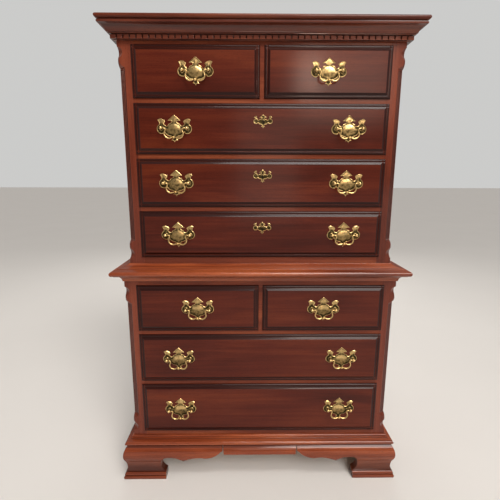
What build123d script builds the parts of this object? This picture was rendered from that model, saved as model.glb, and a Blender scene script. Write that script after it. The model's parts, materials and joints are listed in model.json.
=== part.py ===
from build123d import *
import os
from math import sqrt

# Tall chest of drawers: a chest-on-chest of nine lipped drawers on ogee bracket feet.
# Millimetres. The front faces -Y, +Z is up, and the origin is on the floor under the middle.

os.makedirs("parts", exist_ok=True)

# ---------------------------------------------------------------- driving dimensions
LOWER_HALF = 438.0              # half width of the lower case
UPPER_HALF = 420.0              # half width of the upper case
CASE_DEPTH = 450.0              # lower case, front face to back
FOOT_OVERHANG = 34.0            # how far the foot pads stand outside the lower case
WAIST_OVERHANG = 35.0           # the waist moulding reaches furthest of all
SETBACK = LOWER_HALF - UPPER_HALF

FOOT_TOP = 122.0
BASE_TOP = 152.5                # top of the base moulding
CASE_JOINT = 742.0              # the upper case stands on the lower one here
WAIST_LOW = 709.0
WAIST_TOP = 764.0
CORNICE_LOW = 1420.0
CORNICE_TOP = 1465.0
OVERALL_HEIGHT = 1477.0
TOP_OVERHANG = 45.0

LIP_OVERLAP = 6.0               # drawer lip over the edge of its opening
LIP_GAP = 0.3                   # lip to case front
LIP_PROUD = 9.0                 # lip and field thickness in front of the case
RAIL_SHOWING = 13.0             # rail between two lips
UPPER_LIP_HALF = 381.0
LOWER_LIP_HALF = 400.0
UPPER_LIP_TOP = 1411.0
LOWER_LIP_TOP = 695.0
UPPER_HEIGHTS = (147.0, 147.0, 147.0, 147.0)
LOWER_HEIGHTS = (155.0, 167.0, 178.0)

POST_DEPTH = 45.0
SIDE_THICK = 18.0
BACK_THICK = 10.0
RAIL_DEPTH = 60.0
RAIL_BOARD = 20.0               # thickness of the upright top and bottom rails
BOARD_THICK = 18.0
CHAMFER = 20.0                  # leg of the fluted corner chamfer
TONGUE = 56.0                   # length of each lamb's tongue
UPPER_TONGUES = (780.0, 1406.0)
LOWER_TONGUES = (170.0, 690.0)
FLUTE_RADIUS = 3.4
FLUTE_PITCH = 8.2
FLUTE_INSET = 1.2

FRONT_INNER = 15.0              # part of the drawer front inside the opening
OPENING_CLEARANCE = 1.5
RUNNING_CLEARANCE = 0.5
BOX_HEAD_ROOM = 4.0
BOX_DEPTH = 390.0
BOX_THICK = 12.0
BOTTOM_THICK = 8.0
BOTTOM_RISE = 8.0
BOTTOM_GROOVE = 5.0
RUNNER_WIDTH = 25.0             # runner under the box side
GUIDE_HEIGHT = 25.0

DENTIL_FACE = 13.5              # dentil strip, from the case
DENTIL_BACK = 6.5
DENTIL_LOW = 1421.5
DENTIL_TOP = 1432.5
DENTIL_GAP = 4.2
FRONT_DENTILS = 47
SIDE_DENTILS = 24

PULL_BORING = 76.2              # post to post, three inches
PLATE_THICK = 1.6
POST_REACH = 13.0               # plate face to pivot
BALL_RADIUS = 5.0
NECK_RADIUS = 2.8
COLLAR_RADIUS = 4.6
COLLAR_THICK = 1.8
PIN_RADIUS = 1.5
PIN_CLEARANCE = 0.06
PIN_END = 41.0
BAIL_RADIUS = 2.0
BAIL_START = 31.6
BAIL_BEAD = 3.3
SCREW_RADIUS = 2.4
SCREW_HOLE = 2.5
NUT_RADIUS = 5.5
NUT_THICK = 4.0
ESCUTCHEON_RISE = 21.0
ESCUTCHEON_X = 3.5              # keyholes sit slightly right of the middle
UPPER_PULL_X = 261.0
LOWER_PULL_X = 270.5

BRACKET_END = 343.0             # outer corner to the end of a front bracket
SIDE_BRACKET_SCALE = 0.7        # side brackets are shorter than the front ones
APRON_HALF = 127.0
APRON_LOW = 96.0
REAR_BRACKET = 100.0
FOOT_BLOCK = 42.0

# ---------------------------------------------------------------- derived places
HALF_DEPTH = (CASE_DEPTH + WAIST_OVERHANG) / 2
LOWER_FRONT = WAIST_OVERHANG - HALF_DEPTH
UPPER_FRONT = LOWER_FRONT + SETBACK
BACK = HALF_DEPTH
BACK_INNER = BACK - BACK_THICK
RAIL_THICK = RAIL_SHOWING + 2 * LIP_OVERLAP
DIVIDER_HALF = RAIL_THICK / 2
UPPER_OPENING = UPPER_LIP_HALF - LIP_OVERLAP
LOWER_OPENING = LOWER_LIP_HALF - LIP_OVERLAP
FIELD_OUT = LIP_GAP + LIP_PROUD         # drawer field in front of the case
MITRE_REACH = 100.0
FAR = 2000.0


# ---------------------------------------------------------------- helpers
def block(x, y, z):
    """Box between two limits on each axis."""
    size = [high - low for low, high in (x, y, z)]
    centre = [(high + low) / 2 for low, high in (x, y, z)]
    return Pos(*centre) * Box(*size)


def edge_chain(start, steps):
    """Edges from a start point. A step is the end of a line, or the (via, end) of an arc."""
    edges = []
    here = start
    for step in steps:
        if isinstance(step[0], tuple):
            via, end = step
            edges.append(ThreePointArc(here, via, end))
        else:
            end = step
            edges.append(Line(here, end))
        here = end
    return edges


def outline(start, *steps):
    """Closed face through the steps and straight back to the start."""
    return make_face(edge_chain(start, steps + (start,)))


def symmetric_outline(top, steps):
    """Closed face from its right half, which runs from the top point to the bottom point."""
    right = edge_chain(top, steps)
    left = [mirror(edge, about=Plane.YZ) for edge in right]
    return make_face(right + left)


def both_sides(solid):
    return [solid, mirror(solid, about=Plane.YZ)]


def save(node, shapes):
    """Write every solid of the shapes to the node's own file."""
    solids = [solid for shape in shapes for solid in shape.solids()]
    export_step(Compound(children=solids), f"parts/{node}.step")


def front_zone(half, front):
    """Space in front of a case, bounded by the two mitres."""
    inner = (half - MITRE_REACH, front + MITRE_REACH)
    outer = (half + MITRE_REACH, front - MITRE_REACH)
    plan = outline(inner, outer, (-outer[0], outer[1]), (-inner[0], inner[1]))
    return extrude(plan, amount=FAR)


def side_zone(half, front):
    """Space to the right of a case, behind the front mitre."""
    inner = (half - MITRE_REACH, front + MITRE_REACH)
    outer = (half + MITRE_REACH, front - MITRE_REACH)
    plan = outline(inner, outer, (outer[0], BACK), (inner[0], BACK))
    return extrude(plan, amount=FAR)


def front_run(profile, half, front):
    """Profile of (overhang, height) extruded across the front, mitred at both ends."""
    plane = Plane(origin=(half + MITRE_REACH, front, 0), x_dir=(0, -1, 0), z_dir=(-1, 0, 0))
    run = extrude(plane * profile, amount=2 * (half + MITRE_REACH))
    return run & front_zone(half, front)


def side_run(profile, half, front):
    """The same profile extruded along the right side, mitred at the front."""
    plane = Plane(origin=(half, BACK, 0), x_dir=(1, 0, 0), z_dir=(0, -1, 0))
    run = extrude(plane * profile, amount=BACK - front + MITRE_REACH)
    return run & side_zone(half, front)


def moulding(profile, half, front):
    return [front_run(profile, half, front)] + both_sides(side_run(profile, half, front))


# ---------------------------------------------------------------- drawer layout
class Drawer:
    """One drawer: its lip on the case front, its opening and its hardware places."""

    def __init__(self, name, x, z, front, pulls, escutcheon):
        self.name = name
        self.x = x
        self.z = z
        self.front = front
        self.pulls = pulls
        self.escutcheon = escutcheon
        self.middle = (z[0] + z[1]) / 2

    def opening(self, inset):
        """Limits of the opening behind the lip, drawn in by a clearance."""
        step = LIP_OVERLAP + inset
        return (self.x[0] + step, self.x[1] - step), (self.z[0] + step, self.z[1] - step)


def lay_out(case, front, lip_half, lip_top, heights, pull_x, escutcheons, names):
    """Two half drawers above full-width ones."""
    drawers = []
    top = lip_top
    for row, height in enumerate(heights):
        z = (top - height, top)
        if row == 0:
            inner = RAIL_SHOWING / 2
            middle = (inner + lip_half) / 2
            drawers.append(Drawer(f"{case}_left_drawer", (-lip_half, -inner), z, front, [-middle], False))
            drawers.append(Drawer(f"{case}_right_drawer", (inner, lip_half), z, front, [middle], False))
        else:
            name = f"{case}_{names[row - 1]}_drawer"
            pulls = [-pull_x, pull_x]
            drawers.append(Drawer(name, (-lip_half, lip_half), z, front, pulls, escutcheons))
        top -= height + RAIL_SHOWING
    return drawers


UPPER_DRAWERS = lay_out("upper", UPPER_FRONT, UPPER_LIP_HALF, UPPER_LIP_TOP, UPPER_HEIGHTS,
                        UPPER_PULL_X, True, ("second", "third", "fourth"))
LOWER_DRAWERS = lay_out("lower", LOWER_FRONT, LOWER_LIP_HALF, LOWER_LIP_TOP, LOWER_HEIGHTS,
                        LOWER_PULL_X, False, ("middle", "bottom"))
DRAWERS = UPPER_DRAWERS + LOWER_DRAWERS


# ---------------------------------------------------------------- case
def corner_post(half, front, width, z, tongues):
    """Right front post: a fluted chamfer that runs out into lamb's tongues at both ends."""
    post = block((half - width, half), (front, front + POST_DEPTH), z)
    depth = CHAMFER / sqrt(2)
    low, high = tongues
    profile = outline(
        (-CHAMFER, low), (0.0, low),
        ((10.8, low + 15), (6.5, low + 27)),
        ((3.6, low + 44), (12.0, low + TONGUE)),
        (depth, low + TONGUE), (depth, high - TONGUE), (12.0, high - TONGUE),
        ((3.6, high - 44), (6.5, high - 27)),
        ((10.8, high - 15), (0.0, high)),
        (-CHAMFER, high))
    inward = Plane(origin=(half, front, 0), x_dir=(-1, 1, 0), z_dir=(1, 1, 0))
    post -= extrude(inward * profile, amount=2 * CHAMFER, both=True)
    flute_low = low + TONGUE + 2 * FLUTE_RADIUS
    flute_high = high - TONGUE - 2 * FLUTE_RADIUS
    for step in (-1, 0, 1):
        place = inward.from_local_coords((depth - FLUTE_INSET, 0, step * FLUTE_PITCH))
        length = flute_high - flute_low
        flute = Pos(place.X, place.Y, (flute_low + flute_high) / 2) * Cylinder(FLUTE_RADIUS, length)
        for end in (flute_low, flute_high):
            flute += Pos(place.X, place.Y, end) * Sphere(FLUTE_RADIUS)
        post -= flute
    return post


def side_panel(half, front, z):
    return block((half - SIDE_THICK, half), (front + POST_DEPTH, BACK), z)


def rails(drawers, front, opening, z_low, z_high):
    """Upright top and bottom rails, flat rails between the rows, and the upright divider."""
    top = max(d.z[1] for d in drawers) - LIP_OVERLAP
    bottom = min(d.z[0] for d in drawers) + LIP_OVERLAP
    upright = (front, front + RAIL_BOARD)
    flat = (front, front + RAIL_DEPTH)
    across = (-opening, opening)
    made = [block(across, upright, (top, z_high)), block(across, upright, (z_low, bottom))]
    for level in rail_levels(drawers):
        made.append(block(across, flat, (level - RAIL_THICK, level)))
    divider_low = min(d.z[0] for d in drawers[:2]) + LIP_OVERLAP
    made.append(block((-DIVIDER_HALF, DIVIDER_HALF), (front, front + POST_DEPTH), (divider_low, top)))
    return made


def rail_levels(drawers):
    """Top face of each flat rail: the floor of the opening above it."""
    floors = sorted({d.z[0] + LIP_OVERLAP for d in drawers})
    return floors[1:]


def runners(drawers, half, front, opening):
    """Runners with guides on them, one pair for each row, and kickers over the top row."""
    floors = sorted({d.z[0] + LIP_OVERLAP for d in drawers})
    inner = opening - RUNNER_WIDTH
    wall = half - SIDE_THICK
    guide_face = opening - OPENING_CLEARANCE + RUNNING_CLEARANCE
    made = []
    for floor in floors:
        behind = POST_DEPTH if floor == floors[0] else RAIL_DEPTH
        along = (front + behind, BACK_INNER)
        guide_along = (front + RAIL_DEPTH, BACK_INNER)
        runner = block((inner, wall), along, (floor - RAIL_THICK, floor))
        guide = block((guide_face, wall), guide_along, (floor, floor + GUIDE_HEIGHT))
        made += both_sides(runner) + both_sides(guide)
    top = drawers[0].z[1] - LIP_OVERLAP
    kicker = block((inner, wall), (front + POST_DEPTH, BACK_INNER), (top, top + RAIL_THICK))
    made += both_sides(kicker)
    floor = floors[-1]
    middle = DIVIDER_HALF + RUNNER_WIDTH
    guide_half = DIVIDER_HALF + OPENING_CLEARANCE - RUNNING_CLEARANCE
    made.append(block((-middle, middle), (front + RAIL_DEPTH, BACK_INNER), (floor - RAIL_THICK, floor)))
    made.append(block((-guide_half, guide_half), (front + RAIL_DEPTH, BACK_INNER),
                      (floor, floor + GUIDE_HEIGHT)))
    return made


def build_cases():
    upper_z = (CASE_JOINT, CORNICE_TOP)
    lower_z = (FOOT_TOP, CASE_JOINT)
    save("upper_side_panels", both_sides(side_panel(UPPER_HALF, UPPER_FRONT, upper_z)))
    save("lower_side_panels", both_sides(side_panel(LOWER_HALF, LOWER_FRONT, lower_z)))
    upper_post = corner_post(UPPER_HALF, UPPER_FRONT, UPPER_HALF - UPPER_OPENING, upper_z, UPPER_TONGUES)
    lower_post = corner_post(LOWER_HALF, LOWER_FRONT, LOWER_HALF - LOWER_OPENING, lower_z, LOWER_TONGUES)
    save("upper_corner_posts", both_sides(upper_post))
    save("lower_corner_posts", both_sides(lower_post))
    save("upper_drawer_rails", rails(UPPER_DRAWERS, UPPER_FRONT, UPPER_OPENING, *upper_z))
    save("lower_drawer_rails", rails(LOWER_DRAWERS, LOWER_FRONT, LOWER_OPENING, *lower_z))
    save("drawer_runners", runners(UPPER_DRAWERS, UPPER_HALF, UPPER_FRONT, UPPER_OPENING)
         + runners(LOWER_DRAWERS, LOWER_HALF, LOWER_FRONT, LOWER_OPENING))

    upper_wall = UPPER_HALF - SIDE_THICK
    lower_wall = LOWER_HALF - SIDE_THICK
    upper_back = block((-upper_wall, upper_wall), (BACK_INNER, BACK), upper_z)
    lower_back = block((-lower_wall, lower_wall), (BACK_INNER, BACK), lower_z)
    save("back_panels", [upper_back, lower_back])

    def floor_board(half, front, z_low):
        plan = block((-half, half), (front + RAIL_BOARD, BACK_INNER), (z_low, z_low + BOARD_THICK))
        for post in both_sides(block((half + SIDE_THICK - POST_DEPTH, half + SIDE_THICK),
                                     (front, front + POST_DEPTH), (z_low, z_low + BOARD_THICK))):
            plan -= post
        return plan

    save("case_boards", [floor_board(upper_wall, UPPER_FRONT, CASE_JOINT),
                         floor_board(lower_wall, LOWER_FRONT, CASE_JOINT - BOARD_THICK),
                         floor_board(lower_wall, LOWER_FRONT, FOOT_TOP)])


def build_top_board():
    """Top board with a rounded nose on its front and sides."""
    thick = OVERALL_HEIGHT - CORNICE_TOP
    reach = UPPER_HALF + TOP_OVERHANG
    board = block((-reach, reach), (UPPER_FRONT - TOP_OVERHANG, BACK), (CORNICE_TOP, OVERALL_HEIGHT))
    nose = board.edges().filter_by(Axis.X).group_by(Axis.Y)[0]
    nose += board.edges().filter_by(Axis.Y)
    save("top_board", [fillet(nose, thick / 2 - 0.2)])


# ---------------------------------------------------------------- mouldings
def build_cornice():
    profile = outline(
        (0.0, CORNICE_LOW), (DENTIL_BACK, CORNICE_LOW), (DENTIL_BACK, 1434.5), (17.0, 1434.5),
        (17.0, 1437.0), (21.0, 1437.0), ((26.5, 1448.0), (37.5, 1455.0)), (40.0, 1455.5),
        (40.0, 1461.0), (37.0, 1461.0), (37.0, CORNICE_TOP), (0.0, CORNICE_TOP))
    save("cornice_moulding", moulding(profile, UPPER_HALF, UPPER_FRONT))


def build_dentils():
    """Strip with sloping saw cuts that leave square dentils."""
    profile = outline((DENTIL_BACK, DENTIL_LOW), (DENTIL_FACE, DENTIL_LOW),
                      (DENTIL_FACE, DENTIL_TOP), (DENTIL_BACK, DENTIL_TOP))
    notch = outline((DENTIL_FACE + 1, DENTIL_TOP + 1), (DENTIL_BACK + 1, DENTIL_TOP + 1),
                    (DENTIL_FACE - 1.5, DENTIL_LOW + 1), (DENTIL_FACE + 1, DENTIL_LOW + 1))
    width = 2 * (UPPER_HALF + DENTIL_FACE)
    depth = BACK - UPPER_FRONT + DENTIL_FACE
    strip = front_run(profile, UPPER_HALF, UPPER_FRONT)
    cuts = []
    for index in range(1, FRONT_DENTILS):
        x = -width / 2 + index * width / FRONT_DENTILS
        plane = Plane(origin=(x, UPPER_FRONT, 0), x_dir=(0, -1, 0), z_dir=(-1, 0, 0))
        cuts.append(extrude(plane * notch, amount=DENTIL_GAP / 2, both=True))
    side = side_run(profile, UPPER_HALF, UPPER_FRONT)
    side_cuts = []
    for index in range(1, SIDE_DENTILS):
        y = BACK - index * depth / SIDE_DENTILS
        plane = Plane(origin=(UPPER_HALF, y, 0), x_dir=(1, 0, 0), z_dir=(0, -1, 0))
        side_cuts.append(extrude(plane * notch, amount=DENTIL_GAP / 2, both=True))
    save("dentil_moulding", [strip - cuts] + both_sides(side - side_cuts))


def build_waist():
    """Moulding on the lower case that holds the upper case in place."""
    profile = outline(
        (-SETBACK, CASE_JOINT), (-SETBACK, WAIST_TOP), (-14.0, WAIST_TOP), (-14.0, 761.5),
        ((-3.0, 755.5), (13.0, 752.5)), (15.0, 752.5), (15.0, 750.5), (18.0, 750.5),
        (27.0, 746.5), ((WAIST_OVERHANG, 738.0), (30.0, 730.5)), (25.0, 730.5), (25.0, 728.0),
        (22.0, 728.0), ((9.5, 722.5), (4.0, 711.0)), (4.0, WAIST_LOW), (0.0, WAIST_LOW),
        (0.0, CASE_JOINT))
    save("waist_moulding", moulding(profile, LOWER_HALF, LOWER_FRONT))


def build_base_moulding():
    profile = outline(
        (0.0, FOOT_TOP), (0.0, BASE_TOP), (3.0, BASE_TOP), ((6.5, 149.0), (4.5, 145.5)),
        (7.5, 144.0), (7.5, 142.0), ((13.0, 140.2), (19.0, 139.8)),
        ((26.0, 133.0), (20.0, 125.5)), (16.0, 124.0), (16.0, FOOT_TOP))
    save("base_moulding", moulding(profile, LOWER_HALF, LOWER_FRONT))


# ---------------------------------------------------------------- feet
def foot_profile():
    """Section of a bracket foot: pad, bead, neck and ogee bulge, as (overhang, height)."""
    return outline(
        (-4.0, 0.0), (32.5, 0.0), ((FOOT_OVERHANG, 6.0), (32.5, 12.0)), (29.5, 12.5),
        ((31.0, 18.5), (28.0, 24.5)), (23.5, 25.5), ((22.3, 42.0), (27.0, 66.0)),
        ((33.0, 93.0), (25.0, 117.5)), (20.0, FOOT_TOP), (-4.0, FOOT_TOP))


def bracket_outline(scale):
    """Face of one bracket as (distance from the outer corner, height)."""
    def at(distance, height):
        return (distance * scale, height)

    return outline(
        (0.0, 0.0), at(146, 0), at(146, 24),
        (at(131, 38), at(129, 58)), (at(136, 78), at(158, 84.5)),
        (at(184, 81), at(206, 66.5)), (at(236, 79.5), at(283, 80)),
        (at(314, 88), at(337, 105)), at(BRACKET_END, 107), at(BRACKET_END, FOOT_TOP), (0.0, FOOT_TOP))


def build_feet():
    profile = foot_profile()
    corner = LOWER_HALF + FOOT_OVERHANG
    front_board = front_run(profile, LOWER_HALF, LOWER_FRONT)
    face = Plane(origin=(corner, LOWER_FRONT, 0), x_dir=(-1, 0, 0), z_dir=(0, 1, 0))
    front_cut = extrude(face * bracket_outline(1.0), amount=MITRE_REACH, both=True)
    feet = both_sides(front_board & front_cut)
    apron = outline((-APRON_HALF + 3, APRON_LOW), (APRON_HALF - 3, APRON_LOW),
                    (APRON_HALF, FOOT_TOP), (-APRON_HALF, FOOT_TOP))
    apron_plane = Plane(origin=(0, LOWER_FRONT, 0), x_dir=(1, 0, 0), z_dir=(0, -1, 0))
    apron_cut = extrude(apron_plane * apron, amount=MITRE_REACH, both=True)
    feet.append(front_board & apron_cut)

    side_board = side_run(profile, LOWER_HALF, LOWER_FRONT)
    side_face = bracket_outline(SIDE_BRACKET_SCALE)
    front_end = Plane(origin=(LOWER_HALF, LOWER_FRONT - FOOT_OVERHANG, 0),
                      x_dir=(0, 1, 0), z_dir=(1, 0, 0))
    rear_end = Plane(origin=(LOWER_HALF, BACK, 0), x_dir=(0, -1, 0), z_dir=(-1, 0, 0))
    for end in (front_end, rear_end):
        feet += both_sides(side_board & extrude(end * side_face, amount=MITRE_REACH, both=True))

    rear_face = outline((0, 0), (REAR_BRACKET * 0.6, 0), (REAR_BRACKET * 0.75, 60.0),
                        (REAR_BRACKET, 100.0), (REAR_BRACKET, FOOT_TOP), (0, FOOT_TOP))
    rear = Plane(origin=(LOWER_HALF - 4, BACK, 0), x_dir=(-1, 0, 0), z_dir=(0, 1, 0))
    feet += both_sides(extrude(rear * rear_face, amount=-BOARD_THICK))
    save("bracket_feet", feet)

    inside = LOWER_HALF - 4
    block_x = (inside - FOOT_BLOCK, inside)
    front_y = (LOWER_FRONT + 4, LOWER_FRONT + 4 + FOOT_BLOCK)
    rear_y = (BACK - BOARD_THICK - FOOT_BLOCK, BACK - BOARD_THICK)
    blocks = []
    for y in (front_y, rear_y):
        blocks += both_sides(block(block_x, y, (2.0, FOOT_TOP)))
    save("foot_blocks", blocks)


# ---------------------------------------------------------------- drawers
def drawer_front(drawer):
    """Lipped front: rounded lip, quirk and bevel around a raised flat field."""
    lip_back = drawer.front - LIP_GAP
    field = lip_back - LIP_PROUD
    board = block(drawer.x, (field, lip_back), drawer.z)
    inner_x, inner_z = drawer.opening(OPENING_CLEARANCE)
    board += block(inner_x, (lip_back, drawer.front + FRONT_INNER), inner_z)
    waste = outline((-5.0, 1.2), (0.0, 1.2), ((1.7, 4.3), (6.0, 5.6)), (7.8, 5.6), (7.8, 4.3),
                    (9.2, 4.3), (16.5, 8.2), (16.5, LIP_PROUD + 2), (-5.0, LIP_PROUD + 2))
    margin = 20.0
    width = drawer.x[1] - drawer.x[0] + 2 * margin
    height = drawer.z[1] - drawer.z[0] + 2 * margin
    edges = (
        ((drawer.x[0] - margin, lip_back, drawer.z[0]), (0, 0, 1), (1, 0, 0), width),
        ((drawer.x[1] + margin, lip_back, drawer.z[1]), (0, 0, -1), (-1, 0, 0), width),
        ((drawer.x[0], lip_back, drawer.z[1] + margin), (1, 0, 0), (0, 0, -1), height),
        ((drawer.x[1], lip_back, drawer.z[0] - margin), (-1, 0, 0), (0, 0, 1), height))
    for origin, across, along, length in edges:
        board -= extrude(Plane(origin=origin, x_dir=across, z_dir=along) * waste, amount=length)
    for x in drawer.pulls:
        for side in (-1, 1):
            place = Pos(x + side * PULL_BORING / 2, 0, drawer.middle)
            board -= place * Rot(90, 0, 0) * Cylinder(SCREW_HOLE, FAR)
    return board


def drawer_box(drawer):
    """Two sides, back and grooved-in bottom behind the front."""
    start = drawer.front + FRONT_INNER
    end = start + BOX_DEPTH
    (x_low, x_high), (z_low, z_high) = drawer.opening(0)
    x_low += OPENING_CLEARANCE + RUNNING_CLEARANCE
    x_high -= OPENING_CLEARANCE + RUNNING_CLEARANCE
    z_low += RUNNING_CLEARANCE
    z_high -= BOX_HEAD_ROOM
    bottom_z = (z_low + BOTTOM_RISE, z_low + BOTTOM_RISE + BOTTOM_THICK)
    tuck = BOX_THICK - BOTTOM_GROOVE
    bottom = block((x_low + tuck, x_high - tuck), (start, end), bottom_z)
    left = block((x_low, x_low + BOX_THICK), (start, end), (z_low, z_high)) - bottom
    right = block((x_high - BOX_THICK, x_high), (start, end), (z_low, z_high)) - bottom
    back = block((x_low + BOX_THICK, x_high - BOX_THICK), (end - BOX_THICK, end),
                 (bottom_z[1], z_high))
    return [left, right, back, bottom]


# ---------------------------------------------------------------- hardware
def plate_outline():
    """Bat-wing back plate about the middle of the two posts, as (across, up)."""
    return symmetric_outline((0.0, 39.5), [
        ((9.0, 32.0), (19.0, 23.0)), (10.5, 22.5), ((8.0, 19.5), (10.5, 16.5)), (17.7, 13.0),
        ((21.5, 8.0), (25.5, 8.5)), (31.0, 13.5), (26.6, 20.6), ((32.0, 25.6), (39.5, 28.5)),
        ((45.0, 28.0), (49.5, 24.5)), ((45.5, 18.5), (44.5, 12.3)),
        ((51.5, -5.0), (38.1, -15.0)), ((33.0, -14.0), (30.0, -9.5)), ((24.0, -17.5), (11.0, -22.5)),
        (6.0, -27.0), (10.0, -34.0), ((4.5, -34.0), (0.0, -40.0))])


def escutcheon_outline():
    """Keyhole plate in the same style, about the keyhole."""
    return symmetric_outline((0.0, 20.0), [
        ((5.0, 16.0), (11.0, 11.5)), (6.0, 11.0), ((4.5, 9.0), (6.5, 7.0)), (10.0, 7.5),
        ((13.0, 4.5), (16.5, 7.0)), (19.0, 10.5), (18.0, 15.5), ((23.5, 15.5), (27.5, 11.0)),
        ((24.0, 10.5), (22.5, 8.2)), ((28.5, 1.0), (21.0, -6.5)), ((17.5, -6.0), (15.0, -3.5)),
        ((12.0, -6.5), (8.5, -8.5)), ((4.5, -9.0), (2.8, -12.0)), (6.2, -14.8),
        ((2.5, -15.5), (0.0, -19.3))])


def back_plate():
    face = plate_outline()
    for side in (-1, 1):
        face -= Pos(side * PULL_BORING / 2, 0) * Circle(SCREW_HOLE)
    return extrude(Plane.XZ * face, amount=PLATE_THICK)


def pull_post():
    """Ball-headed post with its threaded tail, about its own axis, tail towards +Y."""
    pivot = -(PLATE_THICK + POST_REACH)
    tail = FIELD_OUT + FRONT_INNER + NUT_THICK + 1.5
    along = Rot(90, 0, 0)
    post = Pos(0, (tail - PLATE_THICK) / 2, 0) * along * Cylinder(SCREW_RADIUS, tail + PLATE_THICK)
    post += Pos(0, -PLATE_THICK - COLLAR_THICK / 2, 0) * along * Cylinder(COLLAR_RADIUS, COLLAR_THICK)
    post += Pos(0, (pivot - PLATE_THICK) / 2, 0) * along * Cylinder(NECK_RADIUS, POST_REACH)
    post += Pos(0, pivot, 0) * Sphere(BALL_RADIUS)
    return post - Pos(0, pivot, 0) * Rot(0, 90, 0) * Cylinder(PIN_RADIUS + PIN_CLEARANCE, 4 * BALL_RADIUS)


def pull_nut():
    face = RegularPolygon(NUT_RADIUS, 6) - Circle(SCREW_HOLE)
    return Pos(0, FIELD_OUT + FRONT_INNER, 0) * extrude(Plane.XZ * face, amount=-NUT_THICK)


def pull_bail():
    """Swinging bail about its pivot axis: two pins and a waisted loop with a middle bead."""
    half = [(BAIL_START, 0.0), (22.0, 0.0), (28.5, -14.5), (21.0, -28.0), (10.0, -28.5), (0.0, -23.0)]
    bends = [3.6, 8.0, 7.0, 10.0]
    points = [(x, 0, z) for x, z in half]
    points += [(-x, 0, z) for x, z in reversed(half[:-1])]
    loop = FilletPolyline(*points, radius=bends + [3.0] + bends[::-1])
    section = Plane(origin=points[0], z_dir=(-1, 0, 0)) * Circle(BAIL_RADIUS)
    bail = sweep(section, path=loop)
    bail += Pos(0, 0, half[-1][1] - 1) * Sphere(BAIL_BEAD)
    for side in (-1, 1):
        middle = side * (BAIL_START - 1 + PIN_END) / 2
        length = PIN_END - BAIL_START + 1
        bail += Pos(middle, 0, 0) * Rot(0, 90, 0) * Cylinder(PIN_RADIUS, length)
    return bail


def keyhole():
    slot = Pos(0, 1.5) * Circle(2.4)
    slot += outline((-1.2, 1.5), (1.2, 1.5), (1.7, -7.0), (-1.7, -7.0))
    return slot


def build_drawers():
    plate = back_plate()
    post = pull_post()
    nut = pull_nut()
    bail = pull_bail()
    escutcheon = extrude(Plane.XZ * (escutcheon_outline() - keyhole()), amount=PLATE_THICK)
    for drawer in DRAWERS:
        save(f"{drawer.name}_front", [drawer_front(drawer)])
        save(f"{drawer.name}_box", drawer_box(drawer))
        face = drawer.front - FIELD_OUT
        height = drawer.middle
        fittings = []
        for x in drawer.pulls:
            fittings.append(Pos(x, face, height) * plate)
            for side in (-1, 1):
                place = Pos(x + side * PULL_BORING / 2, face, height)
                fittings += [place * post, place * nut]
            pivot = face - PLATE_THICK - POST_REACH
            save(bail_name(drawer, x), [Pos(x, pivot, height) * bail])
        save(f"{drawer.name}_pull_mounts", fittings)
        if drawer.escutcheon:
            place = Pos(ESCUTCHEON_X, face, drawer.middle + ESCUTCHEON_RISE)
            save(f"{drawer.name}_escutcheon", [place * escutcheon])


def bail_name(drawer, x):
    if len(drawer.pulls) == 1:
        return f"{drawer.name}_bail"
    return f"{drawer.name}_{'left' if x < 0 else 'right'}_bail"


build_cases()
build_top_board()
build_cornice()
build_dentils()
build_waist()
build_base_moulding()
build_feet()
build_drawers()
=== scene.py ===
"""Looks for the tall chest of drawers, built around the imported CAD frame.

Blender works in metres in the CAD's own frame; shapes are written in millimetres and scaled by MM."""
import json
import math

import bmesh
import bpy
import numpy as np
from mathutils import Matrix, Vector
from mathutils.geometry import delaunay_2d_cdt

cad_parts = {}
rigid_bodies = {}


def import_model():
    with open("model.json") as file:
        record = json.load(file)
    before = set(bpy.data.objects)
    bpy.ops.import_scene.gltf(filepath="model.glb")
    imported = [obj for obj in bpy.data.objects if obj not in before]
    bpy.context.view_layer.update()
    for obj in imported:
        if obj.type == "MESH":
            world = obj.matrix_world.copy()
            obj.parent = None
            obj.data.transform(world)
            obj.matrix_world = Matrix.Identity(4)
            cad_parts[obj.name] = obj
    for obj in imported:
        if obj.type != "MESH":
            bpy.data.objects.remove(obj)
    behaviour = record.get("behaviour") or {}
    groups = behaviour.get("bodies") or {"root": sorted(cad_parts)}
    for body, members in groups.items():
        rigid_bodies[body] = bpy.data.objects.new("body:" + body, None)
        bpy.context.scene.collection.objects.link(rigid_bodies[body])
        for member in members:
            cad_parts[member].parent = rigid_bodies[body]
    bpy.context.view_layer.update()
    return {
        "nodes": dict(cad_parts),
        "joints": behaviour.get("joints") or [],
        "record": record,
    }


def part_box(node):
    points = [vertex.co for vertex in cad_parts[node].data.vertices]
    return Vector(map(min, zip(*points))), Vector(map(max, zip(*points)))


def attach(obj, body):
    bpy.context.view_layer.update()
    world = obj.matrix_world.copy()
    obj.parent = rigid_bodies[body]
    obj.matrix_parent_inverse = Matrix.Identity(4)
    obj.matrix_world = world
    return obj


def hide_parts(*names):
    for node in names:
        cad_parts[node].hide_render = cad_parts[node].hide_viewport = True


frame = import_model()
NODES = frame["nodes"]
BODY_OF = {node: body for body, nodes in frame["record"]["behaviour"]["bodies"].items() for node in nodes}
JOINTS = {joint["child"]: joint for joint in frame["joints"]}
DRAWERS = sorted(name[:-len("_front")] for name in NODES if name.endswith("_drawer_front"))
MM = 0.001

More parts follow.
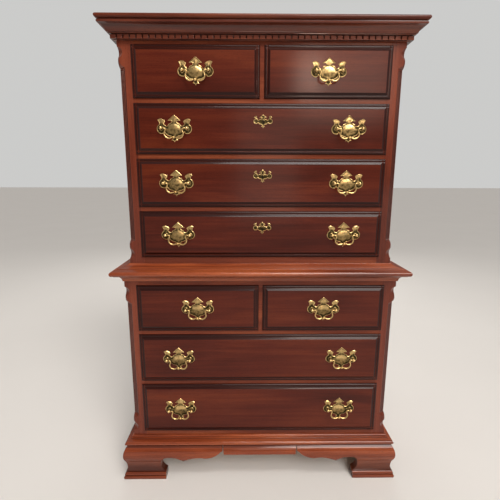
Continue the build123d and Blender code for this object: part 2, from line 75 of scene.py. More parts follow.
# ---------------------------------------------------------------- case dimensions, in millimetres
UPPER_HALF = 420.0
LOWER_HALF = 438.0
UPPER_FRONT = -189.5
LOWER_FRONT = -207.5
CASE_BACK = 242.5
SETBACK = 18.0
CHAMFER = 20.0                  # leg of the fluted corner chamfer
CASE_SIDES = {"upper": (UPPER_HALF, UPPER_FRONT), "lower": (LOWER_HALF, LOWER_FRONT)}
DENTIL_CUT = 12.9               # every face of a saw cut lies within this overhang
FIELD_OUT = 9.3                 # a drawer front's raised field stands this far out of the case front
FRONT_THICK = 24.3
LIP_WIDTH = 16.4                # the moulded lip round the field of a drawer front
LIP_DEPTH = 9.1
BORING = 76.2                   # post to post on every pull
PLATE_THICK = 1.6
POST_REACH = 13.0
ESCUTCHEON_TAIL = 19.3          # keyhole centre to the bottom tip of its plate
BOARD_WIDTH = 0.118             # back boards, in metres

CAMERA_PLACE = (-0.0466, -1.3332, 1.0325)
CAMERA_LENS = 26.13
CAMERA_YAW, CAMERA_PITCH, CAMERA_ROLL = 0.605, 11.167, 0.12
KEY_DIRECTION = (-0.36, 0.78, -0.68)
KEY_ANGLE = 34.0


# ---------------------------------------------------------------- camera, light and floor
def link(obj):
    bpy.context.scene.collection.objects.link(obj)
    return obj


def build_camera():
    """The photograph's viewpoint: a phone held a little above the middle and tipped down."""
    data = bpy.data.cameras.new("camera")
    data.sensor_width = 36.0
    data.lens = CAMERA_LENS
    data.clip_start = 0.05
    data.clip_end = 200.0
    cam = link(bpy.data.objects.new("camera", data))
    yaw, pitch, roll = (math.radians(a) for a in (CAMERA_YAW, CAMERA_PITCH, CAMERA_ROLL))
    cam.matrix_world = (Matrix.Translation(CAMERA_PLACE)
                        @ Matrix.Rotation(-yaw, 4, "Z")
                        @ Matrix.Rotation(math.pi / 2 - pitch, 4, "X")
                        @ Matrix.Rotation(roll, 4, "Z"))
    bpy.context.scene.camera = cam


def area_light(name, place, target, size, power, colour):
    data = bpy.data.lights.new(name, "AREA")
    data.shape = "RECTANGLE"
    data.size, data.size_y = size
    data.energy = power
    data.color = colour
    lamp = link(bpy.data.objects.new(name, data))
    lamp.location = place
    lamp.rotation_mode = "QUATERNION"
    lamp.rotation_quaternion = (Vector(target) - Vector(place)).to_track_quat("-Z", "Y")
    return lamp


def build_lights():
    warm, plain = (1.0, 0.80, 0.66), (1.0, 0.96, 0.92)
    data = bpy.data.lights.new("soft_key", "SUN")
    data.energy = 2.1
    data.angle = math.radians(KEY_ANGLE)
    data.color = plain
    key = link(bpy.data.objects.new("soft_key", data))
    key.rotation_mode = "QUATERNION"
    key.rotation_quaternion = Vector(KEY_DIRECTION).to_track_quat("-Z", "Y")
    area_light("overhead", (0.45, -1.3, 3.0), (0.1, -0.2, 1.0), (1.5, 0.6), 30.0, plain)
    area_light("left_fill", (-3.2, -1.2, 1.7), (0.0, 0.0, 0.8), (2.2, 2.2), 8.0, plain)
    area_light("right_fill", (3.2, -0.9, 1.6), (0.0, 0.0, 0.7), (2.2, 2.2), 8.0, plain)
    area_light("room_lamp", (0.64, -3.3, 2.15), (0.2, -0.2, 1.3), (0.28, 0.42), 3.6, warm)
    area_light("room_wall", (1.05, -3.4, 2.05), (0.2, -0.2, 1.3), (1.0, 0.8), 10.0, warm)
    area_light("room_glow", (0.20, -3.4, 1.2), (0.1, -0.2, 1.0), (0.7, 1.3), 5.0, warm)
    area_light("behind", (0.0, 2.8, 2.4), (0.0, 0.2, 0.8), (2.8, 2.0), 42.0, plain)


def build_world():
    """Pale backdrop for the eye; the surfaces see a room that is bright overhead and dim low down."""
    world = bpy.data.worlds.new("studio")
    bpy.context.scene.world = world
    bpy.context.scene.view_settings.view_transform = "Standard"
    world.use_nodes = True
    tree = world.node_tree
    tree.nodes.clear()
    up = add(tree, "SeparateXYZ", {0: add(tree, "TexCoord").outputs["Generated"]}).outputs[2]
    strength = remap(tree, up, 0.05, 0.85, 0.07, 0.42)
    seen = add(tree, "Background", {"Color": (0.60, 0.60, 0.59, 1.0), "Strength": 1.0})
    lit = add(tree, "Background", {"Color": (0.95, 0.90, 0.86, 1.0), "Strength": strength})
    path = add(tree, "LightPath")
    mix = add(tree, "MixShader", {0: path.outputs["Is Camera Ray"], 1: lit.outputs[0], 2: seen.outputs[0]})
    add(tree, "OutputWorld", {"Surface": mix.outputs[0]})


def build_floor():
    mesh = bpy.data.meshes.new("floor")
    reach = 40.0
    mesh.from_pydata([(-reach, -reach, 0), (reach, -reach, 0), (reach, reach, 0), (-reach, reach, 0)],
                     [], [(0, 1, 2, 3)])
    floor = link(bpy.data.objects.new("floor", mesh))
    mat, tree, bsdf = new_material("floor_pale")
    coords = add(tree, "TexCoord").outputs["Object"]
    cloud = add(tree, "TexNoise", {"Vector": coords, "Scale": 1.4, "Detail": 3.0})
    tone = add(tree, "Mix", {0: cloud.outputs[0], 6: (0.66, 0.645, 0.62, 1), 7: (0.70, 0.685, 0.66, 1)},
               data_type="RGBA")
    tree.links.new(tone.outputs[2], bsdf.inputs["Base Color"])
    bsdf.inputs["Roughness"].default_value = 0.6
    mesh.materials.append(mat)


# ---------------------------------------------------------------- shader helpers
def add(tree, kind, inputs=None, **settings):
    """New shader node, with its settings, and its sockets linked or set."""
    node = tree.nodes.new("ShaderNode" + kind)
    for key, value in settings.items():
        setattr(node, key, value)
    for key, value in (inputs or {}).items():
        if isinstance(value, bpy.types.NodeSocket):
            tree.links.new(value, node.inputs[key])
        else:
            node.inputs[key].default_value = value
    return node


def new_material(name):
    mat = bpy.data.materials.new(name)
    mat.use_nodes = True
    tree = mat.node_tree
    tree.nodes.clear()
    bsdf = add(tree, "BsdfPrincipled")
    add(tree, "OutputMaterial", {"Surface": bsdf.outputs[0]})
    return mat, tree, bsdf


def math_node(tree, operation, *values, clamp=False):
    inputs = dict(enumerate(values))
    return add(tree, "Math", inputs, operation=operation, use_clamp=clamp).outputs[0]


def remap(tree, value, low, high, to_low=0.0, to_high=1.0):
    node = add(tree, "MapRange", {0: value, 1: low, 2: high, 3: to_low, 4: to_high})
    return node.outputs[0]


def mix_colour(tree, factor, first, second, blend="MIX"):
    node = add(tree, "Mix", {0: factor, 6: first, 7: second}, data_type="RGBA", blend_type=blend)
    return node.outputs[2]


def attribute(tree, name):
    return add(tree, "Attribute", attribute_name=name).outputs["Fac"]


def grain_coords(tree, grain):
    """(along, across, across) coordinates. grain is X, Y or Z, or a mitred case's (half, front)."""
    split = add(tree, "SeparateXYZ", {0: add(tree, "TexCoord").outputs["Object"]})
    x, y, z = split.outputs
    if grain in ("X", "Y", "Z"):
        along, first, second = {"X": (x, y, z), "Y": (y, x, z), "Z": (z, x, y)}[grain]
        return along, first, second
    half, front = grain
    reach = math_node(tree, "ADD", math_node(tree, "ABSOLUTE", x), y)
    side = math_node(tree, "GREATER_THAN", reach, (half + front) * MM)
    swap = math_node(tree, "MULTIPLY", side, math_node(tree, "SUBTRACT", y, x))
    along = math_node(tree, "ADD", x, swap)
    first = math_node(tree, "SUBTRACT", y, swap)
    return along, first, z


def wood(name, grain, colours, seed, gloss=0.10, coat=0.35, figure=0.55, rim=None, pore=0.55, rough=0.38,
         boards=None):
    """Mahogany: broad figure, streaks, fine fibres and open pores under lacquer.

    colours are dark, middle and light. rim is the strength of painted shade, with some dark glazing, where
    the mesh's rim attribute is 1. The wear attribute lightens rounded edges: partly rubbed wear, partly
    painted highlight.
    boards is the width of vertical boards with open joints between them."""
    mat, tree, bsdf = new_material(name)
    along, first, second = grain_coords(tree, grain)

    def stretched(stretch, shift):
        run = math_node(tree, "MULTIPLY", along, 1.0 / stretch)
        vector = add(tree, "CombineXYZ", {0: run, 1: first, 2: second})
        return add(tree, "VectorMath", {0: vector.outputs[0], 1: (seed, shift, seed * 0.37)},
                   operation="ADD").outputs[0]

    broad = add(tree, "TexNoise", {"Vector": stretched(7.0, 1.3), "Scale": 13.0, "Detail": 3.0,
                                   "Roughness": 0.5, "Distortion": 0.5}).outputs[0]
    streak = add(tree, "TexNoise", {"Vector": stretched(34.0, 4.1), "Scale": 95.0, "Detail": 5.0,
                                    "Roughness": 0.62, "Distortion": 0.25}).outputs[0]
    fibre = add(tree, "TexNoise", {"Vector": stretched(42.0, 7.9), "Scale": 620.0, "Detail": 3.0,
                                   "Roughness": 0.6}).outputs[0]
    pores = add(tree, "TexNoise", {"Vector": stretched(14.0, 2.7), "Scale": 1500.0, "Detail": 1.0,
                                   "Roughness": 0.5}).outputs[0]
    tone = math_node(tree, "ADD", math_node(tree, "MULTIPLY", broad, figure),
                     math_node(tree, "MULTIPLY", streak, 0.85 - figure))
    tone = math_node(tree, "ADD", tone, math_node(tree, "MULTIPLY", fibre, 0.15))
    tone = remap(tree, tone, 0.36, 0.64)
    ramp = add(tree, "ValToRGB", {0: tone})
    stops = ramp.color_ramp.elements
    dark, middle, light = colours
    stops[0].position, stops[0].color = 0.0, (*dark, 1.0)
    stops[1].position, stops[1].color = 1.0, (*light, 1.0)
    stops.new(0.5).color = (*middle, 1.0)
    open_pore = remap(tree, pores, 0.60, 0.72)
    colour = mix_colour(tree, math_node(tree, "MULTIPLY", open_pore, pore), ramp.outputs[0],
                        (*(0.35 * c for c in dark), 1.0))
    # Painted shade, with some dark glazing: the hollows, saw cuts, flutes and drawer lips marked by the rim
    # attribute go towards near-black.
    if rim is not None:
        painted_shade = math_node(tree, "MULTIPLY", attribute(tree, "rim"), rim)
        colour = mix_colour(tree, painted_shade, colour, (0.34 * dark[0], 0.45 * dark[1], 0.8 * dark[2], 1.0))
    # Rounded edges (the wear attribute) are lightened in streaks: partly rubbed wear, partly painted
    # highlight.
    worn = math_node(tree, "MULTIPLY", attribute(tree, "wear"),
                     remap(tree, streak, 0.42, 0.60, 0.15, 0.55))
    colour = mix_colour(tree, worn, colour, (*(min(1.0, 1.35 * c) for c in light), 1.0))
    joint = None
    if boards is not None:
        across = add(tree, "SeparateXYZ", {0: add(tree, "TexCoord").outputs["Object"]}).outputs[0]
        count = math_node(tree, "DIVIDE", across, boards)
        board = add(tree, "TexWhiteNoise", {"W": math_node(tree, "FLOOR", count)},
                    noise_dimensions="1D").outputs[0]
        colour = mix_colour(tree, math_node(tree, "MULTIPLY", board, 0.35), colour, (*dark, 1.0))
        off = math_node(tree, "ABSOLUTE", math_node(tree, "SUBTRACT", math_node(tree, "FRACT", count), 0.5))
        joint = remap(tree, off, 0.5 - 0.0035 / boards, 0.5 - 0.0010 / boards)
        colour = mix_colour(tree, math_node(tree, "MULTIPLY", joint, 0.85), colour,
                            (*(0.12 * c for c in dark), 1.0))
    tree.links.new(colour, bsdf.inputs["Base Color"])
    tree.links.new(remap(tree, fibre, 0.3, 0.7, rough - 0.05, rough + 0.10), bsdf.inputs["Roughness"])
    peel = add(tree, "TexNoise", {"Vector": add(tree, "TexCoord").outputs["Object"], "Scale": 260.0,
                                  "Detail": 2.0}).outputs[0]
    height = math_node(tree, "SUBTRACT", math_node(tree, "MULTIPLY", peel, 0.35),
                       math_node(tree, "MULTIPLY", open_pore, 0.30))
    bump = add(tree, "Bump", {"Height": height, "Strength": 0.10, "Distance": 0.0006})
    if joint is not None:
        bump = add(tree, "Bump", {"Height": math_node(tree, "SUBTRACT", 1.0, joint), "Strength": 0.8,
                                  "Distance": 0.002, "Normal": bump.outputs[0]})
    tree.links.new(bump.outputs[0], bsdf.inputs["Normal"])
    bsdf.inputs["Specular IOR Level"].default_value = 0.06
    bsdf.inputs["Coat Weight"].default_value = coat
    bsdf.inputs["Coat Roughness"].default_value = gloss
    bsdf.inputs["Coat IOR"].default_value = 1.5
    return mat


def brass(name, gold, patina):
    """Antiqued cast brass: polished where the wear attribute is high, darker in the hollows."""
    mat, tree, bsdf = new_material(name)
    coords = add(tree, "TexCoord").outputs["Object"]
    mottle = add(tree, "TexNoise", {"Vector": coords, "Scale": 130.0, "Detail": 4.0,
                                    "Roughness": 0.6}).outputs[0]
    speck = add(tree, "TexNoise", {"Vector": coords, "Scale": 900.0, "Detail": 2.0}).outputs[0]
    clean = math_node(tree, "ADD", attribute(tree, "wear"), remap(tree, mottle, 0.3, 0.7, -0.35, 0.20),
                      clamp=True)
    colour = mix_colour(tree, clean, (*patina, 1.0), (*gold, 1.0))
    tree.links.new(colour, bsdf.inputs["Base Color"])
    dull = remap(tree, clean, 0.0, 1.0, 0.50, 0.24)
    rough = math_node(tree, "ADD", dull, remap(tree, speck, 0.3, 0.7, -0.04, 0.06))
    tree.links.new(rough, bsdf.inputs["Roughness"])
    height = math_node(tree, "ADD", math_node(tree, "MULTIPLY", mottle, 1.0),
                       math_node(tree, "MULTIPLY", speck, 0.15))
    bump = add(tree, "Bump", {"Height": height, "Strength": 0.22, "Distance": 0.0012})
    tree.links.new(bump.outputs[0], bsdf.inputs["Normal"])
    bsdf.inputs["Metallic"].default_value = 1.0
    return mat


# ---------------------------------------------------------------- mesh helpers
def stand_in(name, mesh, material, nodes, body=None):
    """New piece that replaces CAD nodes and rides on their body."""
    mesh.materials.clear()
    mesh.materials.append(material)
    piece = link(bpy.data.objects.new(name, mesh))
    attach(piece, body or BODY_OF[nodes[0]])
    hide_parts(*nodes)
    return piece


def soften(piece, sharp_angle=50.0):
    """Smooth shading that keeps flat faces flat and hard corners hard."""
    mesh = piece.data
    mesh.shade_smooth()
    mesh.set_sharp_from_angle(angle=math.radians(sharp_angle))
    normals = piece.modifiers.new("even_normals", "WEIGHTED_NORMAL")
    normals.keep_sharp = True
    return piece


def refined(node, material, bevel=0.8, mitre=None, rim=None, edge_angle=28.0, segments=2):
    """Copy of a CAD node, welded and with its crisp edges rounded over.

    mitre is a case's (half, front): the hidden faces between mitred lengths are dropped.
    rim tells from a face's middle, in millimetres, how much painted shade darkens the face, from 0 to 1."""
    bm = bmesh.new()
    bm.from_mesh(NODES[node].data)
    if mitre:
        reach = (mitre[0] + mitre[1]) * MM
        hidden = [f for f in bm.faces
                  if all(abs(abs(v.co.x) + v.co.y - reach) < 2e-5 for v in f.verts)
                  and abs(f.normal.z) < 0.01 and abs(abs(f.normal.x) - abs(f.normal.y)) < 0.01]
        bmesh.ops.delete(bm, geom=hidden, context="FACES")
    bmesh.ops.remove_doubles(bm, verts=bm.verts, dist=2e-6)
    bmesh.ops.dissolve_limit(bm, angle_limit=math.radians(0.4), verts=bm.verts, edges=bm.edges)
    crisp = [e for e in bm.edges if len(e.link_faces) == 2
             and e.calc_face_angle(0.0) > math.radians(edge_angle)]
    made = bmesh.ops.bevel(bm, geom=[e for e in crisp if e.is_convex], offset=bevel * MM,
                           segments=segments, profile=0.6, affect="EDGES", clamp_overlap=True)
    rounded = set(made["faces"])
    # wear: bevelled faces are lightened in the wood, partly rubbed wear, partly painted highlight. rim:
    # strength of the painted shade.
    wear = bm.loops.layers.float.new("wear")
    dark = bm.loops.layers.float.new("rim")
    for face in bm.faces:
        worn = 1.0 if face in rounded else 0.0
        shaded = min(1.0, float(rim(face.calc_center_median() / MM))) if rim else 0.0
        for loop in face.loops:
            loop[wear] = worn
            loop[dark] = shaded
    mesh = bpy.data.meshes.new(node + "_visual")
    bm.to_mesh(mesh)
    bm.free()
    return soften(stand_in(node + "_visual", mesh, material, [node]))


def arc_points(start, via, end, spacing):
    """Points after start along the arc through via to end."""
    a, b, c = (complex(*p) for p in (start, via, end))
    w = (c - a) / (b - a)
    if abs(w.imag) < 1e-9:
        return [end]
    centre = (b - a) * (w - abs(w) ** 2) / (2j * w.imag) + a
    radius = abs(a - centre)
    first = math.atan2((a - centre).imag, (a - centre).real)
    sweep = [(math.atan2((p - centre).imag, (p - centre).real) - first) % (2 * math.pi) for p in (b, c)]
    turn = sweep[1] if sweep[0] < sweep[1] else sweep[1] - 2 * math.pi
    count = max(2, round(abs(turn) * radius / spacing))
    return [(centre.real + radius * math.cos(first + turn * i / count),
             centre.imag + radius * math.sin(first + turn * i / count)) for i in range(1, count)] + [end]


def chain(start, steps, spacing):
    """Points along lines and arcs. A step is the end of a line, or the (via, end) of an arc."""
    points = [start]
    for step in steps:
        if isinstance(step[0], tuple):
            points += arc_points(points[-1], step[0], step[1], spacing)
        else:
            points.append(step)
    return points


def round_corners(points, radius, turn_limit=25.0):
    """Closed outline with each corner that turns more than the limit replaced by a short arc."""
    rounded = []
    count = len(points)
    for i, point in enumerate(points):
        here = Vector(point)
        back = Vector(points[i - 1]) - here
        on = Vector(points[(i + 1) % count]) - here
        turn = math.degrees(math.pi - back.angle(on, math.pi))
        if turn < turn_limit:
            rounded.append(tuple(here))
            continue
        cut = min(radius * math.tan(math.radians(turn) / 2), back.length * 0.4, on.length * 0.4)
        first, last = here + back.normalized() * cut, here + on.normalized() * cut
        for t in (0.0, 0.3, 0.7, 1.0):
            bend = first.lerp(here, t).lerp(here.lerp(last, t), t)
            rounded.append(tuple(bend))
    return rounded


def moulding(node, profile, half, front, material):
    """Closed (overhang, height) profile swept round both sides and the front of a case."""
    ring = len(profile)
    verts = []
    for out, z in profile:
        verts += [(-(half + out), CASE_BACK, z), (-(half + out), front - out, z),
                  (half + out, front - out, z), (half + out, CASE_BACK, z)]
    faces = []
    for i in range(ring):
        j = (i + 1) % ring
        faces += [(4 * i + s, 4 * i + s + 1, 4 * j + s + 1, 4 * j + s) for s in range(3)]
    faces += [tuple(4 * i for i in range(ring)), tuple(4 * i + 3 for i in reversed(range(ring)))]
    mesh = bpy.data.meshes.new(node + "_visual")
    mesh.from_pydata([Vector(v) * MM for v in verts], [], faces)
    # Painted shade in the hollows of the profile, carried by the rim attribute.
    layer = mesh.attributes.new("rim", "FLOAT", "POINT")
    layer.data.foreach_set("value", np.repeat(hollows(profile), 4))
    recalculate(mesh)
    return soften(stand_in(node + "_visual", mesh, material, [node]), 38.0)


def hollows(profile, reach=9.0):
    """For each profile point, from the share of the air around it that the profile itself fills, the
    strength of painted shade in the hollows, from 0 to 1.
    """
    points = np.array(profile, float)
    ways = np.linspace(0, 2 * math.pi, 16, endpoint=False)
    filled = np.zeros(len(points))
    for radius in (0.25, 0.5, 0.75, 1.0):
        for way in ways:
            probe = points + radius * reach * np.array([math.cos(way), math.sin(way)])
            filled += inside(probe, profile)
    share = filled / (4 * len(ways))
    return np.clip((share - 0.53) / 0.14, 0, 1)


def recalculate(mesh):
    bm = bmesh.new()
    bm.from_mesh(mesh)
    bmesh.ops.recalc_face_normals(bm, faces=bm.faces)
    bm.to_mesh(mesh)
    bm.free()


class Part:
    """Vertices in millimetres, faces and a wear value for each vertex, gathered into one mesh."""

    def __init__(self):
        self.verts, self.faces, self.wear = [], [], []

    def put(self, verts, faces, wear):
        start = len(self.verts)
        self.verts += [Vector(v) for v in verts]
        self.faces += [tuple(start + i for i in face) for face in faces]
        self.wear += list(wear)

    def join(self, other, place):
        self.put([place @ v for v in other.verts], other.faces, other.wear)

    def mesh(self, name):
        mesh = bpy.data.meshes.new(name)
        mesh.from_pydata([v * MM for v in self.verts], [], self.faces)
        layer = mesh.attributes.new("wear", "FLOAT", "POINT")
        layer.data.foreach_set("value", self.wear)
        recalculate(mesh)
        return mesh


def lathe(profile, wear, sides=28):
    """(distance towards the viewer, radius) profile turned about the -Y direction, closed at both ends."""
    part = Part()
    verts, faces, worn = [], [], []
    for (reach, radius), value in zip(profile, wear):
        for s in range(sides):
            a = 2 * math.pi * s / sides
            verts.append((radius * math.cos(a), -reach, radius * math.sin(a)))
            worn.append(value)
    for i in range(len(profile) - 1):
        for s in range(sides):
            t = (s + 1) % sides
            faces.append((i * sides + s, i * sides + t, (i + 1) * sides + t, (i + 1) * sides + s))
    last = (len(profile) - 1) * sides
    faces += [tuple(range(sides)), tuple(last + s for s in range(sides))]
    part.put(verts, faces, worn)
    return part


def spline(points, count):
    """Catmull-Rom run through rows of numbers, with count samples for each span."""
    rows = np.array(points, float)
    padded = np.vstack([2 * rows[0] - rows[1], rows, 2 * rows[-1] - rows[-2]])
    samples = []
    for i in range(1, len(padded) - 2):
        p0, p1, p2, p3 = padded[i - 1:i + 3]
        for t in np.arange(count) / count:
            samples.append(0.5 * (2 * p1 + (p2 - p0) * t + (2 * p0 - 5 * p1 + 4 * p2 - p3) * t ** 2
                                  + (3 * p1 - p0 - 3 * p2 + p3) * t ** 3))
    samples.append(rows[-1])
    return np.array(samples)


# ---------------------------------------------------------------- brass fittings
def edge_distance(points, loops):
    """Distance from each point to the nearest outline edge."""
    best = np.full(len(points), 1e9)
    for loop in loops:
        a = np.array(loop, float)
        b = np.roll(a, -1, axis=0)
        for start, end in zip(a, b):
            run = end - start
            length = max(run @ run, 1e-12)
            t = np.clip(((points - start) @ run) / length, 0, 1)
            near = start + t[:, None] * run
            best = np.minimum(best, np.linalg.norm(points - near, axis=1))
    return best


def inside(points, loop):
    """Which points lie inside an outline."""
    a = np.array(loop, float)
    b = np.roll(a, -1, axis=0)
    hits = np.zeros(len(points), int)
    for (x0, y0), (x1, y1) in zip(a, b):
        if y0 == y1:
            continue
        crosses = (points[:, 1] < max(y0, y1)) & (points[:, 1] >= min(y0, y1))
        at = x0 + (points[:, 1] - y0) * (x1 - x0) / (y1 - y0)
        hits += crosses & (at > points[:, 0])
    return hits % 2 == 1


def cast_plate(outer, holes, relief, grid=1.5):
    """Thin casting with a bevelled rim. relief gives (height, wear) from points and edge distances."""
    loops = [outer] + holes
    x0, y0 = np.min(outer, axis=0)
    x1, y1 = np.max(outer, axis=0)
    points = []
    for row, y in enumerate(np.arange(y0, y1, grid * 0.87)):
        points += [(x, y) for x in np.arange(x0 + (row % 2) * grid / 2, x1, grid)]
    points = np.array(points)
    keep = inside(points, outer)
    for hole in holes:
        keep &= ~inside(points, hole)
    points = points[keep]
    points = points[edge_distance(points, loops) > 2.9]
    rings = []
    for offset in (0.75, 1.5, 2.3):
        for loop in loops:
            a = np.array(loop, float)
            along = np.roll(a, -1, axis=0) - np.roll(a, 1, axis=0)
            normal = np.stack([-along[:, 1], along[:, 0]], 1)
            normal /= np.maximum(np.linalg.norm(normal, axis=1), 1e-9)[:, None]
            for way in (-1, 1):
                ring = a + way * offset * normal
                good = inside(ring, outer)
                for hole in holes:
                    good &= ~inside(ring, hole)
                ring = ring[good]
                if len(ring):
                    rings.append(ring[edge_distance(ring, loops) > offset * 0.97])
    edge_points = [tuple(p) for loop in loops for p in loop]
    everything = np.vstack([np.array(edge_points)] + rings + [points])
    edges = []
    start = 0
    for loop in loops:
        edges += [(start + i, start + (i + 1) % len(loop)) for i in range(len(loop))]
        start += len(loop)
    flat, _, triangles, *_ = delaunay_2d_cdt([Vector(p) for p in everything], edges, [], 0, 1e-4)
    flat = np.array([tuple(v) for v in flat])
    middles = np.array([flat[list(t)].mean(axis=0) for t in triangles])
    keep = inside(middles, outer)
    for hole in holes:
        keep &= ~inside(middles, hole)
    triangles = [tuple(t) for t, good in zip(triangles, keep) if good]
    height, wear = relief(flat, edge_distance(flat, loops))
    part = Part()
    part.put([(x, -h, z) for (x, z), h in zip(flat, height)], triangles, wear)
    top = len(flat)
    part.put([(x, 0.0, z) for x, z in flat], [t[::-1] for t in triangles], [0.0] * top)
    borders = {}
    for t in triangles:
        for i in range(len(t)):
            a, b = t[i], t[(i + 1) % len(t)]
            if (b, a) in borders:
                del borders[(b, a)]
            else:
                borders[(a, b)] = True
    part.faces += [(a, b, top + b, top + a) for a, b in borders]
    return part


def mirrored(half):
    """Closed outline from its right half, listed from the top point to the bottom point."""
    return half + [(-x, z) for x, z in reversed(half[1:-1])]


def plate_outline():
    """Bat-wing back plate about the middle of its two posts, in millimetres."""
    return mirrored(chain((0.0, 39.5), [
        ((9.0, 32.0), (19.0, 23.0)), (10.5, 22.5), ((8.0, 19.5), (10.5, 16.5)), (17.7, 13.0),
        ((21.5, 8.0), (25.5, 8.5)), (31.0, 13.5), (26.6, 20.6), ((32.0, 25.6), (39.5, 28.5)),
        ((45.0, 28.0), (49.5, 24.5)), ((45.5, 18.5), (44.5, 12.3)),
        ((51.5, -5.0), (38.1, -15.0)), ((33.0, -14.0), (30.0, -9.5)), ((24.0, -17.5), (11.0, -22.5)),
        (6.0, -27.0), (10.0, -34.0), ((4.5, -34.0), (0.0, -40.0))], 1.3))


def escutcheon_outline():
    return mirrored(chain((0.0, 20.0), [
        ((5.0, 16.0), (11.0, 11.5)), (6.0, 11.0), ((4.5, 9.0), (6.5, 7.0)), (10.0, 7.5),
        ((13.0, 4.5), (16.5, 7.0)), (19.0, 10.5), (18.0, 15.5), ((23.5, 15.5), (27.5, 11.0)),
        ((24.0, 10.5), (22.5, 8.2)), ((28.5, 1.0), (21.0, -6.5)), ((17.5, -6.0), (15.0, -3.5)),
        ((12.0, -6.5), (8.5, -8.5)), ((4.5, -9.0), (2.8, -12.0)), (6.2, -14.8),
        ((2.5, -15.5), (0.0, -19.3))], 1.1))


def keyhole_outline():
    bow = chain((-1.2, -0.6), [((0.0, 3.9), (1.2, -0.6))], 0.5)
    return bow + [(1.7, -7.0), (-1.7, -7.0)]


def rim_relief(crown):
    """Bevelled rim, a shallow channel inside it, and a crowned middle."""
    def relief(points, distance):
        profile = np.interp(distance, [0.0, 1.5, 1.9, 3.0, 5.0, 11.0, 20.0],
                            [0.45, 1.65, 1.65, 1.15, 1.3, 1.3 + 0.7 * crown, 1.3 + crown])
        wear = np.interp(distance, [0.0, 1.1, 1.6, 2.1, 5.0, 9.0], [0.9, 1.0, 0.8, 0.0, 0.0, 0.35])
        return profile, wear
    return relief


def pull_plate():
    outer = plate_outline()
    base = rim_relief(0.9)

    def relief(points, distance):
        height, wear = base(points, distance)
        lobe = np.hypot(np.abs(points[:, 0]) - BORING / 2, points[:, 1])
        sunk = np.clip(1 - lobe / 9.0, 0, 1)
        wear = np.where(distance > 2.0, wear * (1 - np.minimum(1, 2 * sunk)), wear)
        shield = np.clip(1 - np.hypot(points[:, 0] / 20.0, (points[:, 1] - 1.0) / 14.0) ** 2, 0, 1)
        height = height + 1.3 * shield
        handled = np.interp(points[:, 1], [-11.0, -2.0, 5.0, 22.0], [0.0, 0.45, 1.0, 0.6])
        middle = np.minimum(1.0, 3.0 * shield) * handled
        finial = np.interp(points[:, 1], [14.0, 24.0], [0.0, 0.8]) * (np.abs(points[:, 0]) < 12)
        wear = np.where(distance > 2.3, np.maximum(wear, np.maximum(middle, finial)), wear)
        ear = np.interp(points[:, 1], [13.0, 19.0], [0.0, 0.7]) * (np.abs(points[:, 0]) > 24)
        return height, np.maximum(wear, ear)
    return cast_plate(outer, [], relief)


def ball_post():
    """Turned post on the plate: collar, waisted neck and ball head."""
    profile = [(0.0, 5.8), (1.5, 5.8), (2.0, 5.5), (2.3, 4.7), (2.9, 4.5), (3.6, 3.6), (5.2, 2.8),
               (8.4, 2.5), (9.2, 2.9), (9.5, 3.4)]
    wear = [0.0, 0.6, 0.8, 0.3, 0.6, 0.2, 0.3, 0.3, 0.3, 0.2]
    pivot = PLATE_THICK + POST_REACH
    ball = 5.2
    for i in range(4, 19):
        a = math.pi * i / 18
        profile.append((pivot - ball * math.cos(a), max(0.02, ball * math.sin(a))))
        wear.append(0.35 + 0.65 * min(1.0, i / 9))
    return lathe(profile, wear)


def threaded_tail(front_thick):
    """Screw through the drawer front, with its hexagonal nut."""
    reach = front_thick + 5.5
    count = 34
    profile, wear = [], []
    for i in range(count + 1):
        profile.append((-reach * i / count, 2.35 if i % 2 else 2.05))
        wear.append(0.4)
    tail = lathe(profile, wear, 16)
    nut = Part()
    levels = ((0.0, 5.0), (0.5, 5.5), (3.5, 5.5), (4.0, 5.0))
    verts = [(r * math.cos(math.pi * s / 3), front_thick + y, r * math.sin(math.pi * s / 3))
             for y, r in levels for s in range(6)]
    faces = [(6 * i + s, 6 * i + (s + 1) % 6, 6 * i + 6 + (s + 1) % 6, 6 * i + 6 + s)
             for i in range(3) for s in range(6)]
    faces += [tuple(range(6)), tuple(range(18, 24))]
    nut.put(verts, faces, [0.5] * len(verts))
    tail.join(nut, Matrix.Identity(4))
    return tail


def tube(rows, sides=18, wear=0.9):
    """Round bar in the XZ plane through rows of (x, z, radius)."""
    part = Part()
    verts, faces = [], []
    for i, (x, z, radius) in enumerate(rows):
        ahead, behind = rows[min(i + 1, len(rows) - 1)], rows[max(i - 1, 0)]
        along = Vector((ahead[0] - behind[0], 0, ahead[1] - behind[1])).normalized()
        side = Vector((along.z, 0, -along.x))
        for s in range(sides):
            a = 2 * math.pi * s / sides
            outward = side * radius * math.cos(a) + Vector((0, radius * math.sin(a), 0))
            verts.append(Vector((x, 0, z)) + outward)
    for i in range(len(rows) - 1):
        for s in range(sides):
            t = (s + 1) % sides
            faces.append((i * sides + s, i * sides + t, (i + 1) * sides + t, (i + 1) * sides + s))
    last = (len(rows) - 1) * sides
    faces += [tuple(range(sides)), tuple(last + s for s in range(sides))]
    part.put(verts, faces, [wear] * len(verts))
    return part


